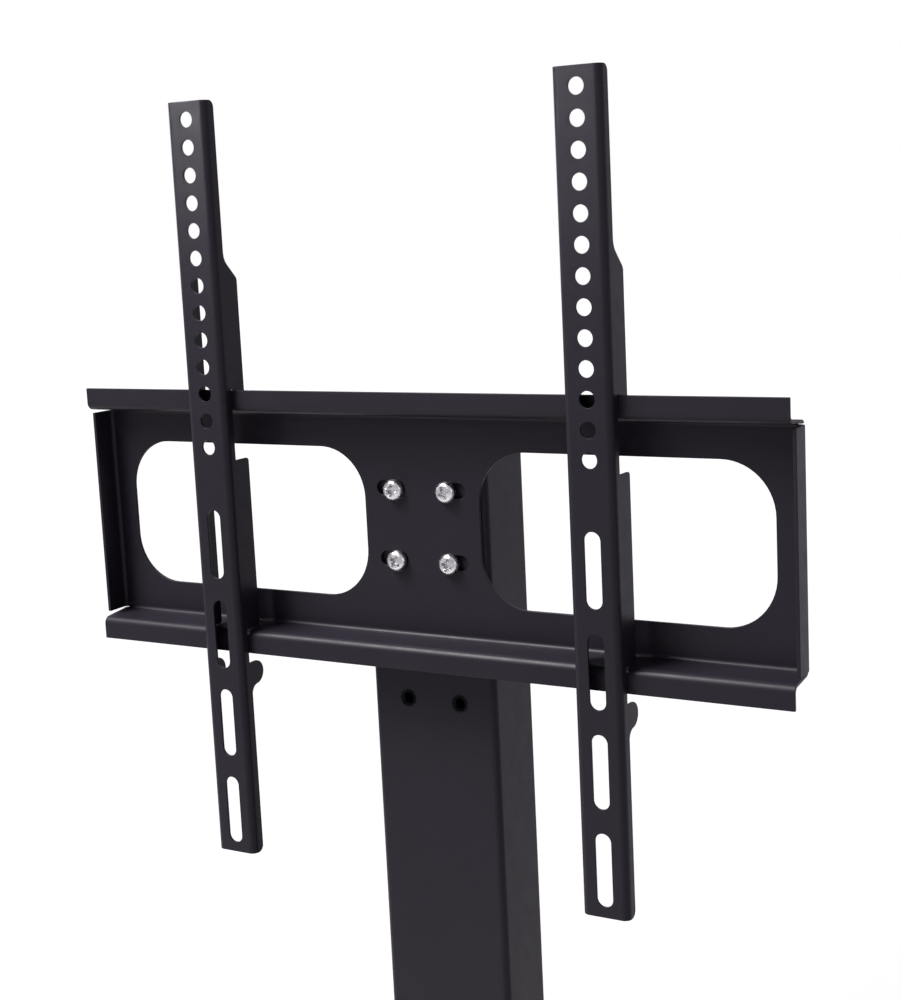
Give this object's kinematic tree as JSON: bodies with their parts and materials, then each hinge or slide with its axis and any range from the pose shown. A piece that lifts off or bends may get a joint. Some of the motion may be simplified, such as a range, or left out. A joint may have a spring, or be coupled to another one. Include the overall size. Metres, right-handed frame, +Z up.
{
  "type": "tv stand with mount",
  "caption": "Floor stand for a flat television: a steel column on a glass base carries a railed mount plate and upright arms that hook on and slide sideways.",
  "frame": {"origin": "on the floor, under the middle of the glass base", "axes": "+X to the right seen from the front, -Y to the front (the television's side), +Z up"},
  "size_m": [0.65, 0.42, 1.2472],
  "materials": {
    "black_powder_coat": "satin black powder coat with a fine grain",
    "insert_steel": "dark zinc",
    "bright_zinc": "bright zinc plate",
    "dull_zinc": "dull zinc plate",
    "black_glass": "toughened glass, black behind, with polished edges",
    "rubber": "matte",
    "nylon": "natural nylon",
    "cap_plastic": "fine matte",
    "foot_metal": "satin turned"
  },
  "bodies": {
    "stand": {"column": "black_powder_coat", "column_cap": "cap_plastic", "rivet_nut_1_left": "insert_steel", "rivet_nut_1_right": "insert_steel", "rivet_nut_2_left": "insert_steel", "rivet_nut_2_right": "insert_steel", "rivet_nut_3_left": "insert_steel", "rivet_nut_3_right": "insert_steel", "rivet_nut_4_left": "insert_steel", "rivet_nut_4_right": "insert_steel", "mount_bolt_upper_left": "bright_zinc", "mount_bolt_upper_right": "bright_zinc", "mount_bolt_lower_left": "bright_zinc", "mount_bolt_lower_right": "bright_zinc", "foot_plate": "black_powder_coat", "foot_gasket": "rubber", "base_glass": "black_glass", "under_gasket": "rubber", "under_plate": "black_powder_coat", "base_bolt_front_left": "dull_zinc", "base_bolt_front_right": "dull_zinc", "base_bolt_rear_left": "dull_zinc", "base_bolt_rear_right": "dull_zinc", "base_washer_front_left": "dull_zinc", "base_washer_front_right": "dull_zinc", "base_washer_rear_left": "dull_zinc", "base_washer_rear_right": "dull_zinc", "glass_sleeve_front_left": "nylon", "glass_sleeve_front_right": "nylon", "glass_sleeve_rear_left": "nylon", "glass_sleeve_rear_right": "nylon", "foot_ring_front_left": "foot_metal", "foot_ring_front_right": "foot_metal", "foot_ring_rear_left": "foot_metal", "foot_ring_rear_right": "foot_metal", "foot_pad_front_left": "rubber", "foot_pad_front_right": "rubber", "foot_pad_rear_left": "rubber", "foot_pad_rear_right": "rubber"},
    "mount_plate": {"mount_plate": "black_powder_coat"},
    "left_arm": {"left_arm": "black_powder_coat"},
    "right_arm": {"right_arm": "black_powder_coat"}
  },
  "joints": [
    {"name": "plate_shift", "type": "slide", "parent": "stand", "child": "mount_plate", "axis": [1, 0, 0], "range_m": [-0.003, 0.003]},
    {"name": "left_arm_slide", "type": "slide", "parent": "mount_plate", "child": "left_arm", "axis": [1, 0, 0], "range_m": [-0.0829, 0.085]},
    {"name": "right_arm_slide", "type": "slide", "parent": "mount_plate", "child": "right_arm", "axis": [1, 0, 0], "range_m": [-0.0783, 0.0896]}
  ]
}
